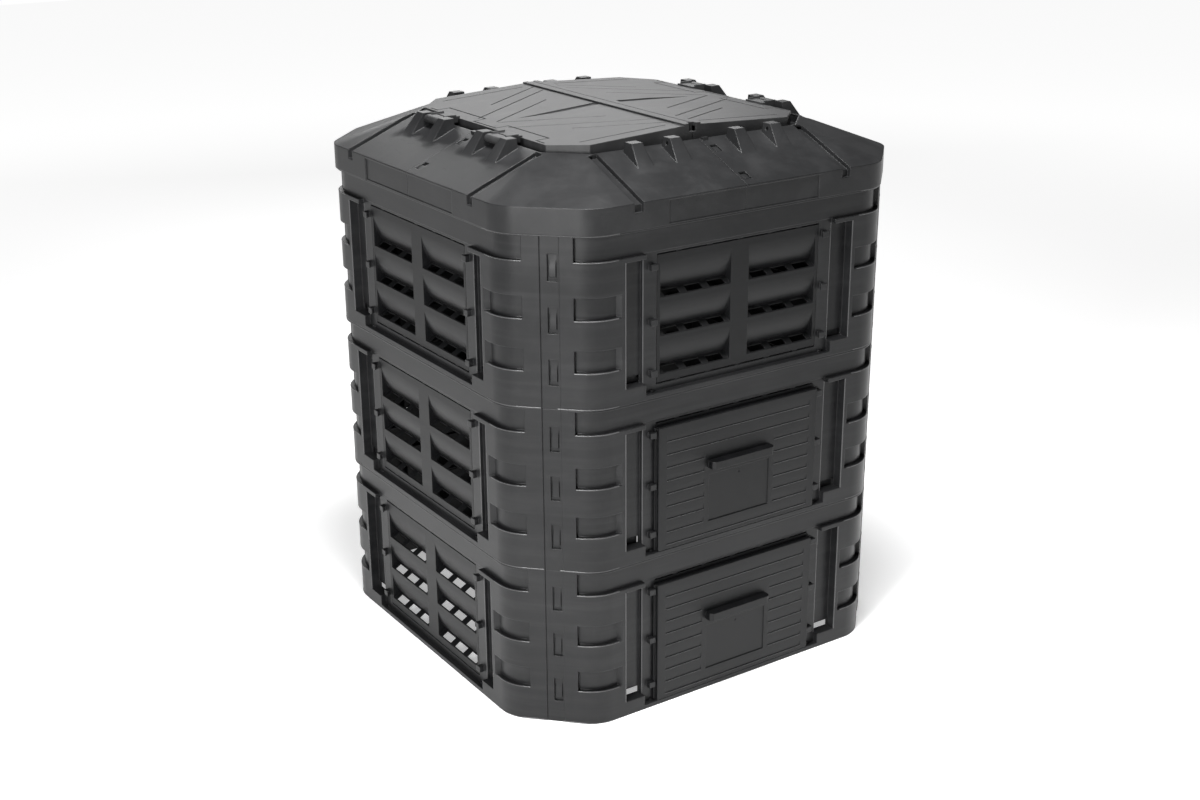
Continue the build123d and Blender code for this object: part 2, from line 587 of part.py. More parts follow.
def roof_hull(inset, drop):
    """Solid under a roof skin that is moved in by inset and down by drop."""
    foot = Pos(0, 0, SKIRT_HIGH - drop) * roof_outline(inset)
    crest = outline(CREST_HALF - inset, CREST_CHAMFER - inset, CREST_RADIUS)
    slope = loft([foot, Pos(0, 0, CREST_HIGH - drop) * crest], ruled=True)
    height = SKIRT_HIGH - drop - ROOF_BASE
    return slope + Pos(0, 0, ROOF_BASE) * extrude(roof_outline(inset), amount=height)


def prism(half, chamfer_distance, low, high):
    shape = outline(half, chamfer_distance, CREST_RADIUS)
    return Pos(0, 0, low) * extrude(shape, amount=high - low)


def gusset(centre):
    """Wedge that stiffens the crest, at a place along the front side, with drafted sides."""
    low_r, high_r = GUSSET_TOP_R
    foot_z = SKIRT_HIGH + (ROOF_HALF - GUSSET_FOOT_R) * SLOPE - GUSSET_SINK
    crest_z = CREST_HIGH - ROOF_WALL
    points = [(-low_r, crest_z), (-low_r, GUSSET_TOP), (-high_r, GUSSET_TOP), (-GUSSET_FOOT_R, foot_z)]
    face = make_face(Polyline(*points, close=True))
    plane = Plane(origin=(centre - GUSSET_WIDTH, 0, 0), x_dir=(0, 1, 0), z_dir=(1, 0, 0))
    wedge = extrude(plane * face, amount=2 * GUSSET_WIDTH)
    full_z = HINGE_Z - KNUCKLE_RADIUS     # height at which the gusset is GUSSET_WIDTH wide
    top_half = GUSSET_WIDTH / 2 - (GUSSET_TOP + OVER - full_z) * GUSSET_DRAFT
    foot_half = GUSSET_WIDTH / 2 + (full_z - foot_z + OVER) * GUSSET_DRAFT
    sides = [(-foot_half, foot_z - OVER), (foot_half, foot_z - OVER)]
    sides += [(top_half, GUSSET_TOP + OVER), (-top_half, GUSSET_TOP + OVER)]
    end = Plane(origin=(centre, 0, 0), x_dir=(1, 0, 0), z_dir=(0, -1, 0))
    return wedge & extrude(end * make_face(Polyline(*sides, close=True)), amount=ROOF_HALF)


FRONT_ROOF = Plane(origin=(0, 0, 0), x_dir=(1, 0, 0), z_dir=(0, 0, 1))
DIAGONAL = Plane(origin=(0, 0, 0), z_dir=(1, -1, 0))


def front_half():
    """Space of half a roof corner: from the front seam to the corner's diagonal."""
    left_of_seam = block(FRONT_ROOF, (-REACH, -SEAM_GAP / 2), EVERY_DEPTH, EVERY_HEIGHT)
    diagonal = Rot(0, 0, -45) * block(FRONT_ROOF, (0, REACH), EVERY_DEPTH, EVERY_HEIGHT)
    return left_of_seam & diagonal


def build_roof_corner():
    """One of four roof mouldings: the corner between the front and left sides."""
    inside = roof_hull(ROOF_WALL, ROOF_WALL * SKIN_DROP)
    whole = roof_hull(0, 0)
    top = CREST_HIGH + OVER
    well = prism(CREST_HALF - CREST_WALL, CREST_CHAMFER - CREST_WALL, ROOF_BASE, top)
    mouth = prism(MOUTH_HALF, MOUTH_CHAMFER, ROOF_BASE, top)
    collar = prism(CREST_HALF, CREST_CHAMFER, SHELF_HIGH - SHELF_THICK, CREST_HIGH - CREST_WALL)
    shelf = prism(CREST_HALF, CREST_CHAMFER, SHELF_HIGH - SHELF_THICK, SHELF_HIGH)
    half = (whole - inside - well) & front_half()
    half += (collar - well) & front_half()
    half += (shelf - mouth) & front_half()

    # Gutter beside the slope, sunk middle of the skirt, gussets with pin bores
    under = GUTTER_DEPTH + ROOF_WALL
    backing = inside - roof_hull(under, under * SKIN_DROP) - well
    outer_r = ROOF_HALF + OVER
    radial = (-outer_r, -CREST_HALF)
    along = (-GUTTER_CENTRE - GUTTER_WIDTH / 2, -GUTTER_CENTRE + GUTTER_WIDTH / 2)
    fat = (along[0] - ROOF_WALL, along[1] + ROOF_WALL)
    half += backing & block(FRONT_ROOF, fat, radial, (GUTTER_NOTCH - ROOF_WALL, CREST_HIGH))
    deep = whole - roof_hull(GUTTER_DEPTH, GUTTER_DEPTH * SKIN_DROP)
    half -= deep & block(FRONT_ROOF, along, radial, (GUTTER_NOTCH, top))
    sunk_along = (-SKIRT_PANEL_HALF, SKIRT_PANEL_HALF)
    sunk_depth = (-outer_r, -ROOF_HALF + SKIRT_PANEL_SINK)
    sunk_tall = (ROOF_BASE - OVER, SKIRT_HIGH - ROOF_WALL)
    half -= block(FRONT_ROOF, sunk_along, sunk_depth, sunk_tall)
    for centre in GUSSET_CENTRES:
        half += gusset(-centre)
    half -= front_rod(PIN_RADIUS + PIN_FIT, PIN_START, PIN_END)

    # Seat that rests on the top tier's rim and drops inside its wall
    seat_low = ROOF_BASE - SEAT_DEPTH
    seat = ring(-ROOF_WALL / 2, SEAT_INSET + SEAT_THICK, ROOF_BASE, ROOF_BASE + SEAT_THICK)
    seat += ring(SEAT_INSET, SEAT_INSET + SEAT_THICK, seat_low, ROOF_BASE + SEAT_THICK)
    passage = (-TRACK_HALF - CHANNEL_WIDTH, -TRACK_HALF)
    passage_deep = (RIM_WIDTH + SLIP_GAP, CHANNEL_DEPTH + WALL + SLIP_GAP + TONGUE_THICK + OVER)
    seat -= block(FRONT, passage, passage_deep, (seat_low - OVER, ROOF_BASE + SEAT_THICK + OVER))
    half += seat & front_half()
    shell = half + mirror(half, about=DIAGONAL)

    # Seam clips: tongues with hooks past the front seam, slots beside the left seam
    tongue_out = ROOF_WALL + SLIP_GAP
    tongue_in = tongue_out + SEAT_THICK
    below = roof_hull(tongue_in, tongue_in * SKIN_DROP)
    passing = roof_hull(tongue_out, tongue_out * SKIN_DROP) - below
    root = roof_hull(OVER, OVER * SKIN_DROP) - below
    hook_in = tongue_out + OVER
    hook = roof_hull(OVER, OVER * SKIN_DROP) - roof_hull(hook_in, hook_in * SKIN_DROP)
    cut_in = ROOF_WALL + CLIP_SLOT_SKIN
    skin = whole - roof_hull(cut_in, cut_in * SKIN_DROP)
    upright = (ROOF_BASE + SEAT_THICK + ROOF_TONGUE, CREST_HIGH)
    near, far = ROOF_SLOT_X
    for slot_low, slot_high in ROOF_SLOTS:
        radial = (-slot_high - ROOF_CLIP_MARGIN, -slot_low + ROOF_CLIP_MARGIN)
        shell += root & block(FRONT_ROOF, (-SEAT_DEPTH, -SEAM_GAP / 2), radial, upright)
        shell += passing & block(FRONT_ROOF, (-OVER, ROOF_TONGUE), radial, upright)
        hook_along = (near + ROOF_HOOK_GAP, far - ROOF_HOOK_GAP)
        hook_radial = (-slot_high + ROOF_HOOK_GAP, -slot_low - ROOF_HOOK_FREE)
        shell += hook & block(FRONT_ROOF, hook_along, hook_radial, upright)
        slot = block(FRONT_ROOF, (-far, -near), (-slot_high, -slot_low), upright)
        shell -= mirror(skin & slot, about=DIAGONAL)

    # Small block at the crest beside the left seam
    block_along = (-SEAM_BLOCK_X[1], -SEAM_BLOCK_X[0])
    block_radial = (-CREST_HALF - SEAM_BLOCK_DEEP, -CREST_HALF + CREST_WALL / 2)
    return shell + mirror(block(FRONT_ROOF, block_along, block_radial, SEAM_BLOCK_Z), about=DIAGONAL)


def front_rod(radius, low, high):
    """Rod along the front side's hinge axis, left of the middle."""
    rod = Cylinder(radius, high - low, rotation=(0, 90, 0))
    return Pos(-(low + high) / 2, -HINGE_R, HINGE_Z) * rod


def pin_rod(radius, low, high):
    """Rod on the left leaf's front hinge axis, between two distances from the middle."""
    rod = Cylinder(radius, high - low, rotation=(90, 0, 0))
    return Pos(-HINGE_R, -(low + high) / 2, HINGE_Z) * rod


def build_pin():
    return pin_rod(PIN_RADIUS, PIN_START + SEAM_GAP, PIN_END - SEAM_GAP)


def lid_hull(inset, drop):
    """Solid under the lid's skin, both leaves together, ridge along the front-back line."""
    distance = (2 * LID_HALF - LID_LEG) / sqrt(2)
    plan = outline(LID_HALF - inset, distance - inset, 2.0)
    tall = LID_RIDGE + SPLIT_LIP_HEIGHT + OVER - LID_RIM_LOW
    box = Pos(0, 0, LID_RIM_LOW) * extrude(plan, amount=tall)
    edge = LID_HALF + OVER
    below = LID_RIM_LOW - LID_WALL - OVER
    ridge = [(-edge, below), (-edge, lid_height(edge) - drop), (0, LID_RIDGE - drop)]
    ridge += [(edge, lid_height(edge) - drop), (edge, below)]
    side = Plane(origin=(0, 0, 0), x_dir=(1, 0, 0), z_dir=(0, -1, 0))
    roof = extrude(side * make_face(Polyline(*ridge, close=True)), amount=edge, both=True)
    return box & roof


def lid_height(distance):
    """Height of the lid's skin at a distance from the ridge."""
    return LID_RIDGE - (LID_RIDGE - LID_RIM_HIGH) * distance / LID_HALF


def groove(start, end):
    """Upright cutter along a line in plan, round neither end."""
    run = Vector(*end) - Vector(*start)
    middle = (Vector(*start) + Vector(*end)) * 0.5
    turn = Vector(1, 0).get_signed_angle(run)
    bar = Box(run.length + GROOVE_WIDTH, GROOVE_WIDTH, 2 * REACH)
    return Pos(middle.X, middle.Y, 0) * Rot(0, 0, turn) * bar


def leaf_grooves():
    """Cutters for the left leaf's grooves, in both of its quadrants."""
    lines = list(GROOVES) + [BORDER_FRONT]
    lines += list(zip(BORDER_SIDE, BORDER_SIDE[1:]))
    lines.append(((SPLIT_LIP, 0.0), (SPLIT_LIP, BORDER_FRONT[0][1])))
    cutters = []
    for (start_x, start_y), (end_x, end_y) in lines:
        for side in (-1, 1):
            cutters.append(groove((-start_x, side * start_y), (-end_x, side * end_y)))
    return cutters


def hinge_tab():
    """Plate from the leaf's rim to a knuckle on the front pin, with a slot and two upright ribs."""
    low = GUSSET_CENTRES[0] + GUSSET_WIDTH / 2 + KNUCKLE_SIDE_GAP
    high = GUSSET_CENTRES[1] - GUSSET_WIDTH / 2 - KNUCKLE_SIDE_GAP
    tab = block(FRONT_ROOF, (-HINGE_R, -LID_HALF + LID_WALL), (-high, -low), ARM_TALL)
    tab += pin_rod(KNUCKLE_RADIUS, low, high)
    rib_low, rib_high = TAB_RIB_R
    tall = (ARM_TALL[0], ARM_TALL[1] + TAB_RIB_HIGH)
    for along in ((-low - TAB_RIB, -low), (-high, -high + TAB_RIB)):
        tab += block(FRONT_ROOF, (-rib_high, -rib_low), along, tall)
    slot_low, slot_high = TAB_SLOT_R
    slot_tall = (ARM_TALL[1] - TAB_SLOT_DEPTH, ARM_TALL[1] + OVER)
    slot_along = (-high + TAB_SLOT_MARGIN, -low - TAB_SLOT_MARGIN)
    tab -= block(FRONT_ROOF, (-slot_high, -slot_low), slot_along, slot_tall)
    return tab - pin_rod(PIN_RADIUS + BORE_FIT, low - OVER, high + OVER)


def build_leaf():
    """Left leaf of the lid, with its hinge tabs."""
    inside = lid_hull(LID_WALL, LID_WALL)
    whole = lid_hull(0, 0)
    raised = lid_hull(0, -SPLIT_LIP_HEIGHT)
    lip = raised & block(FRONT_ROOF, (-SPLIT_LIP, 0), EVERY_DEPTH, (LIP_LOW, REACH))
    wall = whole & block(FRONT_ROOF, (-SPLIT_GAP - LID_WALL, 0), EVERY_DEPTH, (SPLIT_RIB_LOW, REACH))
    skin = whole - lid_hull(0, GROOVE_DEPTH)
    deep_skin = whole - lid_hull(0, VALLEY_DEPTH)
    leaf = (whole - inside) + (lip - inside) + wall
    for cutter in leaf_grooves():
        leaf -= skin & cutter
    valley = extrude(make_face(Polyline(*VALLEY, close=True)), amount=REACH)
    leaf -= deep_skin & valley
    leaf &= block(FRONT_ROOF, (-REACH, -SPLIT_GAP / 2), EVERY_DEPTH, EVERY_HEIGHT)
    for along in both_sides(LID_HALF - NOTCH_DEPTH, LID_HALF + OVER):
        leaf -= block(FRONT_ROOF, (-NOTCH_HALF, OVER), along, (NOTCH_LOW, REACH))
    tab = hinge_tab()
    return leaf + tab + mirror(tab, about=Plane.XZ)


def write(shape, name):
    export_step(shape, f"parts/{name}.step")


SIDES = ("front", "right", "back", "left")
CORNERS = ("front_left", "front_right", "back_right", "back_left")


if __name__ == "__main__":
    os.makedirs("parts", exist_ok=True)
    panel, louvre = build_panel(), build_louvre()
    hatch_frame, hatch = build_hatch_frame(), build_hatch()
    for tier in range(1, TIER_COUNT + 1):
        for quarter_turn, side in enumerate(SIDES):
            place = Pos(0, 0, (tier - 1) * TIER_HEIGHT) * Rot(0, 0, 90 * quarter_turn)
            write(place * panel, f"{side}_panel_{tier}")
            if side == "front" and tier in HATCH_TIERS:
                write(place * hatch_frame, f"hatch_frame_{tier}")
                write(place * hatch, f"hatch_{tier}")
            else:
                write(place * louvre, f"{side}_louvre_{tier}")
    roof_corner = build_roof_corner()
    for quarter_turn, corner in enumerate(CORNERS):
        write(Rot(0, 0, 90 * quarter_turn) * roof_corner, f"roof_{corner}")
    leaf, pin = build_leaf(), build_pin()
    write(leaf, "lid_left")
    write(Rot(0, 0, 180) * leaf, "lid_right")
    back_pin = mirror(pin, about=Plane.XZ)
    write(pin, "hinge_pin_left_front")
    write(back_pin, "hinge_pin_left_back")
    write(Rot(0, 0, 180) * back_pin, "hinge_pin_right_front")
    write(Rot(0, 0, 180) * pin, "hinge_pin_right_back")
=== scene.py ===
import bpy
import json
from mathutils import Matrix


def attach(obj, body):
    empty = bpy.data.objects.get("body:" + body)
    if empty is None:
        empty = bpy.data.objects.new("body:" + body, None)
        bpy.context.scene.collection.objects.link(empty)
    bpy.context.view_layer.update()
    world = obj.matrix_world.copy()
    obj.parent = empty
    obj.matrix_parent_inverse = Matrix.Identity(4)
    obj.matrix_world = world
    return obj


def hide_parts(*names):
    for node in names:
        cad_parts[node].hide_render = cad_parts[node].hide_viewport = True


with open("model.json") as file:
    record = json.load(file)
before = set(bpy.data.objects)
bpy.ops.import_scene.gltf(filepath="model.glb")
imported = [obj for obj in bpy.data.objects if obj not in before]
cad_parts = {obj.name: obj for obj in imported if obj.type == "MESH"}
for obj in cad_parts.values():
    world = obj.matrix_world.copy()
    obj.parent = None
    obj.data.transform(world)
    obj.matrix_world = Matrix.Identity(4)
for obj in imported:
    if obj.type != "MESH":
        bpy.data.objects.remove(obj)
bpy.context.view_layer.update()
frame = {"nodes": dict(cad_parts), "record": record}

import json
import math

import bmesh
import bpy
from mathutils import Matrix, Vector

# Compost bin of moulded black plastic, metres. The bin stands on z = 0 and faces -Y.

MM = 0.001

# Where the viewer stands and how the picture is framed
CAMERA_PLACE = (-1.908, -2.820, 1.738)
CAMERA_YAW = 56.19        # degrees from +X towards +Y
CAMERA_PITCH = -20.4
CAMERA_ROLL = -0.35
CAMERA_LENS = 49.67
SENSOR_WIDTH = 36.0


# ---------------------------------------------------------------- shader maths

class Shade:
    """A socket in a material's node tree. Arithmetic on it adds Math nodes."""

    def __init__(self, tree, socket):
        self.tree = tree
        self.socket = socket

    def node(self, kind, settings=None, inputs=None, output=0):
        """Adds a node of any type, with its settings first and then its inputs."""
        made = self.tree.nodes.new(kind)
        for name, value in (settings or {}).items():
            setattr(made, name, value)
        for name, value in (inputs or {}).items():
            if isinstance(value, Shade):
                self.tree.links.new(value.socket, made.inputs[name])
            else:
                made.inputs[name].default_value = value
        return Shade(self.tree, made.outputs[output])

    def math(self, operation, other=None, third=None):
        inputs = {0: self}
        if other is not None:
            inputs[1] = other
        if third is not None:
            inputs[2] = third
        return self.node("ShaderNodeMath", {"operation": operation}, inputs)

    def reversed_math(self, operation, other):
        return self.node("ShaderNodeMath", {"operation": operation}, {0: other, 1: self})

    def __add__(self, other):
        return self.math("ADD", other)

    def __radd__(self, other):
        return self.reversed_math("ADD", other)

    def __sub__(self, other):
        return self.math("SUBTRACT", other)

    def __rsub__(self, other):
        return self.reversed_math("SUBTRACT", other)

    def __mul__(self, other):
        return self.math("MULTIPLY", other)

    def __rmul__(self, other):
        return self.reversed_math("MULTIPLY", other)

    def smooth_step(self, low, high):
        """0 below low, 1 above high, smooth between."""
        return self.node(
            "ShaderNodeMapRange",
            {"interpolation_type": "SMOOTHSTEP"},
            {"Value": self, "From Min": low, "From Max": high},
        )

    def stretched(self, scale, turn=(0, 0, 0)):
        """A vector scaled and turned about the origin."""
        return self.node("ShaderNodeMapping", None, {"Vector": self, "Scale": scale, "Rotation": turn})

    def noise(self, scale, detail=4.0, roughness=0.5, distortion=0.0):
        inputs = {"Vector": self, "Scale": scale, "Detail": detail, "Roughness": roughness}
        inputs["Distortion"] = distortion
        return self.node("ShaderNodeTexNoise", None, inputs)

    def mix_colour(self, dark, light):
        """Colour between two, by this factor."""
        made = self.tree.nodes.new("ShaderNodeMix")
        made.data_type = "RGBA"
        self.tree.links.new(self.socket, made.inputs["Factor"])
        for name, value in (("A", dark), ("B", light)):
            socket = [s for s in made.inputs if s.name == name and s.type == "RGBA"][0]
            if isinstance(value, Shade):
                self.tree.links.new(value.socket, socket)
            else:
                socket.default_value = (*value, 1.0)
        result = [s for s in made.outputs if s.type == "RGBA"][0]
        return Shade(self.tree, result)


def new_material(name):
    material = bpy.data.materials.new(name)
    material.use_nodes = True
    tree = material.node_tree
    shader = tree.nodes["Principled BSDF"]
    place = Shade(tree, tree.nodes.new("ShaderNodeTexCoord").outputs["Object"])
    return material, tree, shader, place


WELD_LINES = (0.6, 0.6, 7.0)
SCUFFS = (3.0, 3.0, 40.0)
GRAIN_DEPTH = 0.4 * MM
GRAIN_STRENGTH = 0.35
EDGE_SAMPLES = 6
SHEEN = 0.30
LIP_SHEEN = 0.80

# Noises, as scale, detail, roughness and distortion
STREAK_NOISE = (9.0, 5.0, 0.55, 0.4)
MOTTLE_NOISE = (5.0, 3.0, 0.5)
BLOTCH_NOISE = (38.0, 4.0, 0.6)
GRAIN_NOISE = (900.0, 2.0, 0.6)
WELD_NOISE = (2.0, 2.0, 0.4, 0.6)
SCUFF_NOISE = (6.0, 6.0, 0.7, 1.2)
FLOOR_NOISE = (0.8, 2.0, 0.5)

# Where each noise begins to show and where it is at full strength
STREAK_RANGE = (0.42, 0.72)
MOTTLE_RANGE = (0.38, 0.68)
BLOTCH_RANGE = (0.45, 0.70)
SCUFF_RANGE = (0.60, 0.74)
WELD_MIDDLE = 0.5
WELD_RANGE = (0.0, 0.012)


def satin_plastic(name, dark, light, roughness, streak_scale, edge_radius, sheen=SHEEN):
    """Injection-moulded black plastic: flow streaks, weld lines, mottling, grain and softened edges."""
    material, tree, shader, place = new_material(name)
    streaks = place.stretched(streak_scale).noise(*STREAK_NOISE)
    mottle = place.noise(*MOTTLE_NOISE)
    blotches = place.noise(*BLOTCH_NOISE)
    grain = place.noise(*GRAIN_NOISE)
    from_middle = (place.stretched(WELD_LINES).noise(*WELD_NOISE) - WELD_MIDDLE).math("ABSOLUTE")
    weld = 1.0 - from_middle.smooth_step(*WELD_RANGE)
    scuffs = place.stretched(SCUFFS).noise(*SCUFF_NOISE).smooth_step(*SCUFF_RANGE)
    bloom = streaks.smooth_step(*STREAK_RANGE) * 0.5 + mottle.smooth_step(*MOTTLE_RANGE) * 0.35
    bloom = bloom + blotches.smooth_step(*BLOTCH_RANGE) * 0.15 + weld * 0.12
    colour = bloom.mix_colour(dark, light)
    tree.links.new(colour.socket, shader.inputs["Base Color"])
    rough = streaks * 0.12 + mottle * 0.10 + scuffs * 0.06 + blotches * 0.05 + (roughness - 0.14)
    tree.links.new(rough.socket, shader.inputs["Roughness"])
    height = grain * 0.4 + streaks * 0.4 + blotches * 0.3 + weld * 0.1
    rounded = place.node("ShaderNodeBevel", {"samples": EDGE_SAMPLES}, {"Radius": edge_radius})
    bump = place.node(
        "ShaderNodeBump",
        None,
        {"Height": height, "Distance": GRAIN_DEPTH, "Strength": GRAIN_STRENGTH, "Normal": rounded},
    )
    tree.links.new(bump.socket, shader.inputs["Normal"])
    shader.inputs["Specular IOR Level"].default_value = sheen
    return material


# Slot, darkest and lightest colour, roughness, stretch of the flow streaks, radius of softened edges
PLASTICS = (
    ("panel_plastic", (0.009, 0.0092, 0.0098), (0.021, 0.0212, 0.022), 0.38, (0.35, 0.35, 6.0), 2.6 * MM),
    ("insert_plastic", (0.0032, 0.0034, 0.0038), (0.0068, 0.0070, 0.0076), 0.45, (0.5, 0.5, 4.0), 1.0 * MM),
    ("hatch_plastic", (0.0026, 0.0028, 0.0032), (0.0056, 0.0058, 0.0064), 0.43, (4.0, 0.5, 0.5), 1.6 * MM),
    ("roof_plastic", (0.011, 0.0112, 0.0118), (0.023, 0.0232, 0.024), 0.40, (1.5, 1.5, 1.5), 2.6 * MM),
    ("lid_plastic", (0.020, 0.0202, 0.0208), (0.045, 0.0452, 0.046), 0.46, (0.6, 5.0, 1.0), 2.2 * MM),
    ("pin_plastic", (0.010, 0.0102, 0.0108), (0.018, 0.0182, 0.019), 0.40, (1.0, 6.0, 1.0), 0.8 * MM),
)
MATERIALS = {row[0]: satin_plastic(*row) for row in PLASTICS}
# Colours of the lips' material, lighter than any panel: a painted highlight along the rounded lips, which
# are also glossier.
LIP_HIGHLIGHT_DARK = (0.030, 0.0302, 0.031)
LIP_HIGHLIGHT_LIGHT = (0.060, 0.0602, 0.062)
MATERIALS["painted_highlight_lips"] = satin_plastic(
    "painted_highlight_lips", LIP_HIGHLIGHT_DARK, LIP_HIGHLIGHT_LIGHT, 0.30, (0.5, 0.5, 0.5), 0.4 * MM, LIP_SHEEN
)


# ---------------------------------------------------------------- CAD pieces, finished

SMOOTH_ANGLE = math.radians(32)
WELD = 0.01 * MM


def slot_of(node):
    for row in frame["record"]["subparts"]:
        if row["node"] == node:
            return row["material_slot"]
    raise ValueError(node)


def body_of(node):
    for body, members in frame["record"]["behaviour"]["bodies"].items():
        if node in members:
            return body
    raise ValueError(node)


def clean_copy(node, name):
    """Merged copy of a CAD node's mesh."""
    mesh = frame["nodes"][node].data.copy()
    mesh.name = name
    shape = bmesh.new()
    shape.from_mesh(mesh)
    bmesh.ops.remove_doubles(shape, verts=shape.verts, dist=WELD)
    shape.to_mesh(mesh)
    shape.free()
    mesh.materials.clear()
    piece = bpy.data.objects.new(name, mesh)
    bpy.context.scene.collection.objects.link(piece)
    return piece


def smooth(piece, angle):
    """Smooth shading between faces that meet at less than an angle, led by the larger faces."""
    mesh = piece.data
    mesh.polygons.foreach_set("use_smooth", [True] * len(mesh.polygons))
    shape = bmesh.new()
    shape.from_mesh(mesh)
    for edge in shape.edges:
        edge.smooth = edge.is_manifold and edge.calc_face_angle(0) < angle
    shape.to_mesh(mesh)
    shape.free()
    weighted = piece.modifiers.new("weighted", "WEIGHTED_NORMAL")
    weighted.keep_sharp = True
    weighted.weight = 100
    depsgraph = bpy.context.evaluated_depsgraph_get()
    piece.data = bpy.data.meshes.new_from_object(piece.evaluated_get(depsgraph))
    piece.modifiers.clear()
    bpy.data.meshes.remove(mesh)


def finish_node(node):
    slot = slot_of(node)
    piece = clean_copy(node, "visual_" + node)
    smooth(piece, SMOOTH_ANGLE)
    piece.data.materials.clear()
    piece.data.materials.append(MATERIALS[slot])
    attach(piece, body_of(node))
    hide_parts(node)
    return piece


for node_name in sorted(frame["nodes"]):
    finish_node(node_name)


# ---------------------------------------------------------------- Geometry Nodes: rounded lips

TIER_COUNT = 3
TIER_HEIGHT = 330 * MM

# Plan of the body: half width, distance of a corner's cut face, radius between them
HALF_WIDTH = 463 * MM
CUT_DISTANCE = 564 * MM
CORNER_RADIUS = 80 * MM
POCKET_SILLS = (72 * MM, 172 * MM, 281 * MM)
POCKET_END = 287 * MM
POCKET_START = 48 * MM
FOOT_START = 16 * MM
LIP_RADIUS = 1.3 * MM
LIP_SINK = 0.8 * MM
CORNER_TURN = 45          # degrees from a side to the corner's cut face
ARC_STEPS = 10
PROFILE_SIDES = 10

# Channels beside the track, with an upright lip on each edge: place along the side, depth
CHANNEL_EDGES = ((226 * MM, 12 * MM), (271 * MM, 0.0))
CHANNEL_LOW = 31 * MM
CHANNEL_HIGH = 272 * MM

# Roof: skirt that overhangs the top tier, and its plan
ROOF_HALF = 466.5 * MM
ROOF_CUT = 567.5 * MM
ROOF_RADIUS = 82 * MM
SKIRT_FOOT = TIER_COUNT * TIER_HEIGHT

HATCH_FACE = 464 * MM
SLAT_PITCH = 27 * MM
SLAT_FOOT = 19.5 * MM
SLAT_HALF = 176.5 * MM
SLAT_INNER = 87 * MM
SLAT_LIP = 0.7 * MM
SLAT_LIP_SINK = 0.35 * MM
# Rows of slats: first row, how many, and both ends along the hatch
SLAT_GROUPS = ((0, 1, -SLAT_HALF, SLAT_HALF), (7, 2, -SLAT_HALF, SLAT_HALF))
SLAT_GROUPS += ((1, 6, -SLAT_HALF, -SLAT_INNER), (1, 6, SLAT_INNER, SLAT_HALF))


class Tree:
    """A Geometry Nodes tree with named inputs."""

    def __init__(self, name, inputs):
        self.tree = bpy.data.node_groups.new(name, "GeometryNodeTree")
        self.tree.interface.new_socket("Geometry", in_out="OUTPUT", socket_type="NodeSocketGeometry")
        self.tree.interface.new_socket("Path", in_out="INPUT", socket_type="NodeSocketGeometry")
        for label, kind in inputs:
            self.tree.interface.new_socket(label, in_out="INPUT", socket_type="NodeSocket" + kind)
        self.entry = self.tree.nodes.new("NodeGroupInput")

    def node(self, kind, settings=None, inputs=None):
        """Adds a node of any type. An input is a socket to link or a plain value."""
        made = self.tree.nodes.new(kind)
        for name, value in (settings or {}).items():
            setattr(made, name, value)
        for name, value in (inputs or {}).items():
            if isinstance(value, bpy.types.NodeSocket):
                self.tree.links.new(value, made.inputs[name])
            else:
                made.inputs[name].default_value = value
        return made

    def given(self, label):
        return self.entry.outputs[label]

    def finish(self, geometry):
        """Ends the tree: instances made real, one material, smooth faces."""
        real = self.node("GeometryNodeRealizeInstances", None, {"Geometry": geometry})
        shaded = self.node("GeometryNodeSetShadeSmooth", None, {"Geometry": real.outputs[0]})
        inputs = {"Geometry": shaded.outputs[0], "Material": self.given("Material")}
        coloured = self.node("GeometryNodeSetMaterial", None, inputs)
        self.node("NodeGroupOutput", None, {"Geometry": coloured.outputs[0]})
        return self.tree


def lip_tree():
    """Rounded lip along a path, repeated upwards at an even pitch."""
    inputs = (("Radius", "Float"), ("Rows", "Int"), ("Pitch", "Float"), ("Material", "Material"))
    tree = Tree("rounded_lips", inputs)
    curve = tree.node("GeometryNodeMeshToCurve", None, {"Mesh": tree.given("Path")})
    round_inputs = {"Resolution": PROFILE_SIDES, "Radius": tree.given("Radius")}
    profile = tree.node("GeometryNodeCurvePrimitiveCircle", {"mode": "RADIUS"}, round_inputs)
    lip = tree.node(
        "GeometryNodeCurveToMesh",
        None,
        {"Curve": curve.outputs[0], "Profile Curve": profile.outputs[0], "Fill Caps": True},
    )
    step = tree.node("ShaderNodeCombineXYZ", None, {"Z": tree.given("Pitch")})
    rows = tree.node(
        "GeometryNodeMeshLine", {"mode": "OFFSET"}, {"Count": tree.given("Rows"), "Offset": step.outputs[0]}
    )
    placed = tree.node(
        "GeometryNodeInstanceOnPoints", None, {"Points": rows.outputs[0], "Instance": lip.outputs[0]}
    )
    return tree.finish(placed.outputs[0])


def grown(path, tree, values, name):
    """Plain mesh that a tree makes from a path of points."""
    mesh = bpy.data.meshes.new(name)
    mesh.from_pydata(path, [(i, i + 1) for i in range(len(path) - 1)], [])
    holder = bpy.data.objects.new(name, mesh)
    bpy.context.scene.collection.objects.link(holder)
    modifier = holder.modifiers.new("lips", "NODES")
    modifier.node_group = tree
    for item in tree.interface.items_tree:
        if item.name in values and item.in_out == "INPUT":
            modifier[item.identifier] = values[item.name]
    depsgraph = bpy.context.evaluated_depsgraph_get()
    made = bpy.data.meshes.new_from_object(holder.evaluated_get(depsgraph))
    bpy.data.objects.remove(holder)
    return made


def joined(meshes, name):
    """One lip object from several meshes, normals outward, in the lip material whose lighter colour is a
    painted highlight.
    """
    shape = bmesh.new()
    for mesh in meshes:
        shape.from_mesh(mesh)
    bmesh.ops.recalc_face_normals(shape, faces=shape.faces)
    mesh = bpy.data.meshes.new(name)
    shape.to_mesh(mesh)
    shape.free()
    mesh.materials.append(MATERIALS["painted_highlight_lips"])
    mesh.polygons.foreach_set("material_index", [0] * len(mesh.polygons))
    piece = bpy.data.objects.new(name, mesh)
    bpy.context.scene.collection.objects.link(piece)
    return piece


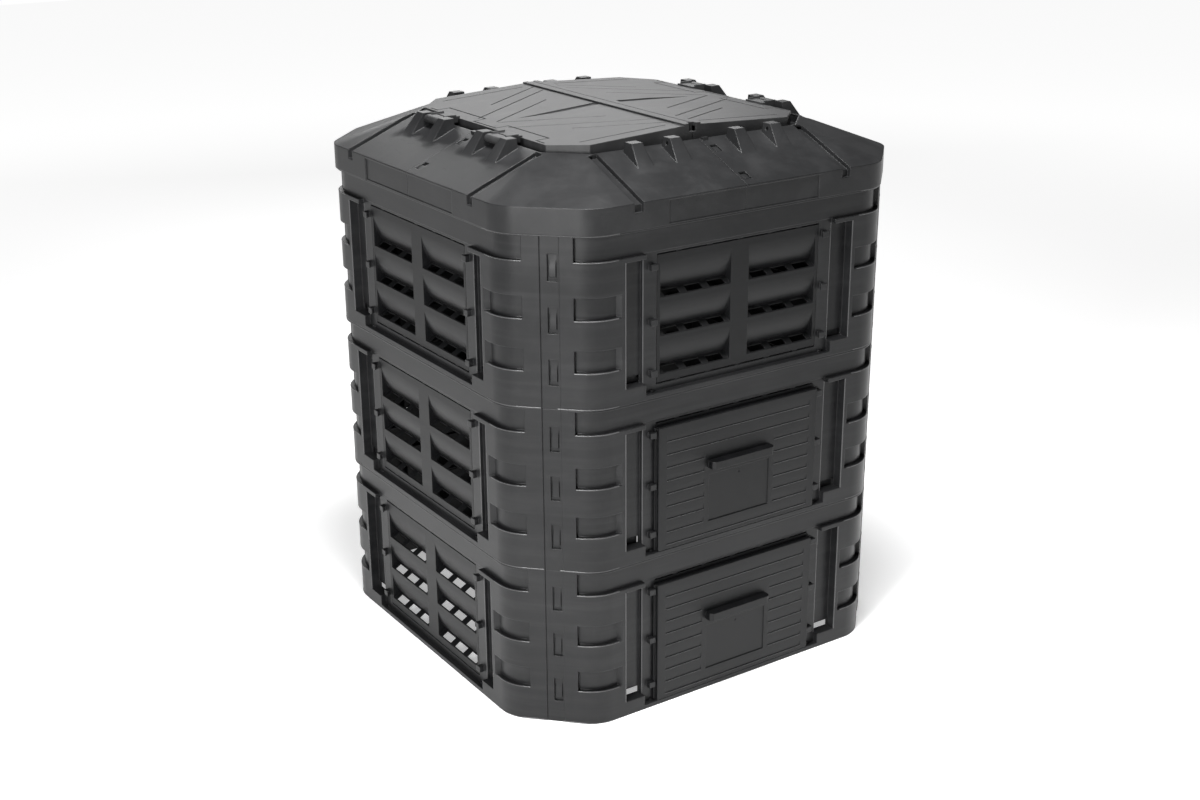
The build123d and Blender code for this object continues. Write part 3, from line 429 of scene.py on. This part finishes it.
def on_all_sides(strip):
    """Copies of a mesh, turned to each of the four sides."""
    turned = []
    for quarter in range(4):
        side = strip.copy()
        side.transform(Matrix.Rotation(math.radians(90 * quarter), 4, "Z"))
        turned.append(side)
    return turned


def corner_path(half, cut_distance, radius, start):
    """Plan round one corner, from beside the side's middle to a distance from the cut's middle."""
    vertex = Vector((cut_distance * math.sqrt(2) - half, -half))
    along = Vector((1, 1)).normalized()
    reach = radius * math.tan(math.radians(CORNER_TURN / 2))
    centre = vertex + Vector((-reach, radius))
    points = [Vector((POCKET_END, -half))]
    for step in range(ARC_STEPS + 1):
        angle = math.radians(-90 + CORNER_TURN * step / ARC_STEPS)
        points.append(centre + radius * Vector((math.cos(angle), math.sin(angle))))
    cut_half = (Vector((half, -vertex.x)) - vertex).length / 2
    points.append(vertex + along * (cut_half - start))
    return points


def round_all_corners(plan, height, tree, values):
    """A lip along a corner's plan, at both ends of all four sides."""
    meshes = []
    for mirrored in (1, -1):
        path = [(point.x * mirrored, point.y, height) for point in plan]
        meshes += on_all_sides(grown(path, tree, values, "lips"))
    return meshes


def body_lips(tree):
    """Lips on the sills of the corner pockets, the foot of each tier and the channels' edges."""
    values = {"Radius": LIP_RADIUS, "Rows": TIER_COUNT, "Pitch": TIER_HEIGHT}
    values["Material"] = MATERIALS["painted_highlight_lips"]
    sunk = (HALF_WIDTH - LIP_SINK, CUT_DISTANCE - LIP_SINK, CORNER_RADIUS - LIP_SINK)
    meshes = []
    for sill in POCKET_SILLS:
        meshes += round_all_corners(corner_path(*sunk, POCKET_START), sill - LIP_SINK, tree, values)
    meshes += round_all_corners(corner_path(*sunk, FOOT_START), LIP_RADIUS, tree, values)
    for place, depth in CHANNEL_EDGES:
        for side in (1, -1):
            front = -HALF_WIDTH + depth + LIP_SINK
            shift = LIP_SINK if depth == 0 else -LIP_SINK
            along = side * (place + shift)
            path = [(along, front, CHANNEL_LOW), (along, front, CHANNEL_HIGH)]
            meshes += on_all_sides(grown(path, tree, values, "lips"))
    piece = joined(meshes, "panel_lips")
    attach(piece, body_of("front_panel_1"))


def skirt_lip(tree):
    """Lip under the foot of the roof's skirt."""
    values = {"Radius": LIP_RADIUS, "Rows": 1, "Pitch": TIER_HEIGHT, "Material": MATERIALS["painted_highlight_lips"]}
    sunk = (ROOF_HALF - LIP_RADIUS, ROOF_CUT - LIP_RADIUS, ROOF_RADIUS - LIP_RADIUS)
    meshes = round_all_corners(corner_path(*sunk, 0.0), SKIRT_FOOT, tree, values)
    piece = joined(meshes, "skirt_lip")
    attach(piece, body_of("roof_front_left"))


def slat_lips(tree, hatch, tier):
    """Lips on the feet of a hatch's slats."""
    material = MATERIALS["painted_highlight_lips"]
    base = (tier - 1) * TIER_HEIGHT + SLAT_FOOT - SLAT_LIP_SINK
    depth = -HATCH_FACE + SLAT_LIP_SINK
    meshes = []
    for first, rows, start, end in SLAT_GROUPS:
        height = base + first * SLAT_PITCH
        values = {"Radius": SLAT_LIP, "Rows": rows, "Pitch": SLAT_PITCH, "Material": material}
        meshes.append(grown([(start, depth, height), (end, depth, height)], tree, values, "slats"))
    piece = joined(meshes, f"{hatch}_slat_lips")
    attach(piece, body_of(hatch))


rounded_lips = lip_tree()
body_lips(rounded_lips)
skirt_lip(rounded_lips)
for tier_number in (1, 2):
    slat_lips(rounded_lips, f"hatch_{tier_number}", tier_number)


# ---------------------------------------------------------------- studio

ROOM_LIGHT = 0.10         # the room's light, against the white that the viewer sees
FLOOR_HALF = 12.0
FLOOR_DARK = (0.86, 0.86, 0.86)
FLOOR_LIGHT = (0.90, 0.90, 0.90)
FLOOR_ROUGHNESS = 0.9

# The floor's own light, near and far, which keeps it as white as the backdrop
NEAR_GLOW = (0.42, 0.42, 0.42)
FAR_GLOW = (0.85, 0.85, 0.85)
GLOW_START = 2.0
GLOW_END = 6.5


def studio():
    world = bpy.data.worlds.new("studio")
    bpy.context.scene.world = world
    world.use_nodes = True
    background = world.node_tree.nodes["Background"]
    background.inputs["Color"].default_value = (1.0, 1.0, 1.0, 1.0)
    seen = world.node_tree.nodes.new("ShaderNodeLightPath").outputs["Is Camera Ray"]
    strength = Shade(world.node_tree, seen) * (1.0 - ROOM_LIGHT) + ROOM_LIGHT
    world.node_tree.links.new(strength.socket, background.inputs["Strength"])

    mesh = bpy.data.meshes.new("floor")
    half = FLOOR_HALF
    corners = [(-half, -half, 0), (half, -half, 0), (half, half, 0), (-half, half, 0)]
    mesh.from_pydata(corners, [], [(0, 1, 2, 3)])
    floor = bpy.data.objects.new("floor", mesh)
    bpy.context.scene.collection.objects.link(floor)
    material, tree, shader, place = new_material("floor_white")
    tone = place.noise(*FLOOR_NOISE).mix_colour(FLOOR_DARK, FLOOR_LIGHT)
    tree.links.new(tone.socket, shader.inputs["Base Color"])
    shader.inputs["Roughness"].default_value = FLOOR_ROUGHNESS
    distance = place.node("ShaderNodeVectorMath", {"operation": "LENGTH"}, {0: place}, "Value")
    glow = distance.smooth_step(GLOW_START, GLOW_END).mix_colour(NEAR_GLOW, FAR_GLOW)
    tree.links.new(glow.socket, shader.inputs["Emission Color"])
    shader.inputs["Emission Strength"].default_value = 1.0
    mesh.materials.append(material)


def soft_light(name, place, aim, size, watts):
    data = bpy.data.lights.new(name, "AREA")
    data.shape = "RECTANGLE"
    data.size, data.size_y = size
    data.energy = watts
    light = bpy.data.objects.new(name, data)
    bpy.context.scene.collection.objects.link(light)
    light.location = place
    direction = Vector(aim) - Vector(place)
    light.rotation_euler = direction.to_track_quat("-Z", "Y").to_euler()


def camera():
    yaw, pitch, roll = (math.radians(a) for a in (CAMERA_YAW, CAMERA_PITCH, CAMERA_ROLL))
    forward = Vector((math.cos(pitch) * math.cos(yaw), math.cos(pitch) * math.sin(yaw), math.sin(pitch)))
    right = forward.cross(Vector((0, 0, 1))).normalized()
    up = right.cross(forward)
    turned_right = right * math.cos(roll) + up * math.sin(roll)
    turned_up = up * math.cos(roll) - right * math.sin(roll)
    data = bpy.data.cameras.new("camera")
    data.sensor_fit = "HORIZONTAL"
    data.sensor_width = SENSOR_WIDTH
    data.lens = CAMERA_LENS
    made = bpy.data.objects.new("camera", data)
    bpy.context.scene.collection.objects.link(made)
    turn = Matrix((turned_right, turned_up, -forward)).transposed()
    made.matrix_world = Matrix.Translation(CAMERA_PLACE) @ turn.to_4x4()
    bpy.context.scene.camera = made


# Lights: name, place, point lit, width and height, watts
LIGHTS = (
    ("overhead", (-0.3, -0.6, 3.3), (0, -0.1, 0.9), (0.9, 0.9), 140),
    ("corner_key", (-2.1, -1.5, 1.35), (-0.3, -0.3, 0.9), (0.35, 0.9), 56),
    ("back_sheen", (1.6, 3.4, 2.4), (0, 0, 1.1), (2.6, 1.2), 34),
)

studio()
for light_row in LIGHTS:
    soft_light(*light_row)
camera()
bpy.context.scene.view_settings.view_transform = "Standard"
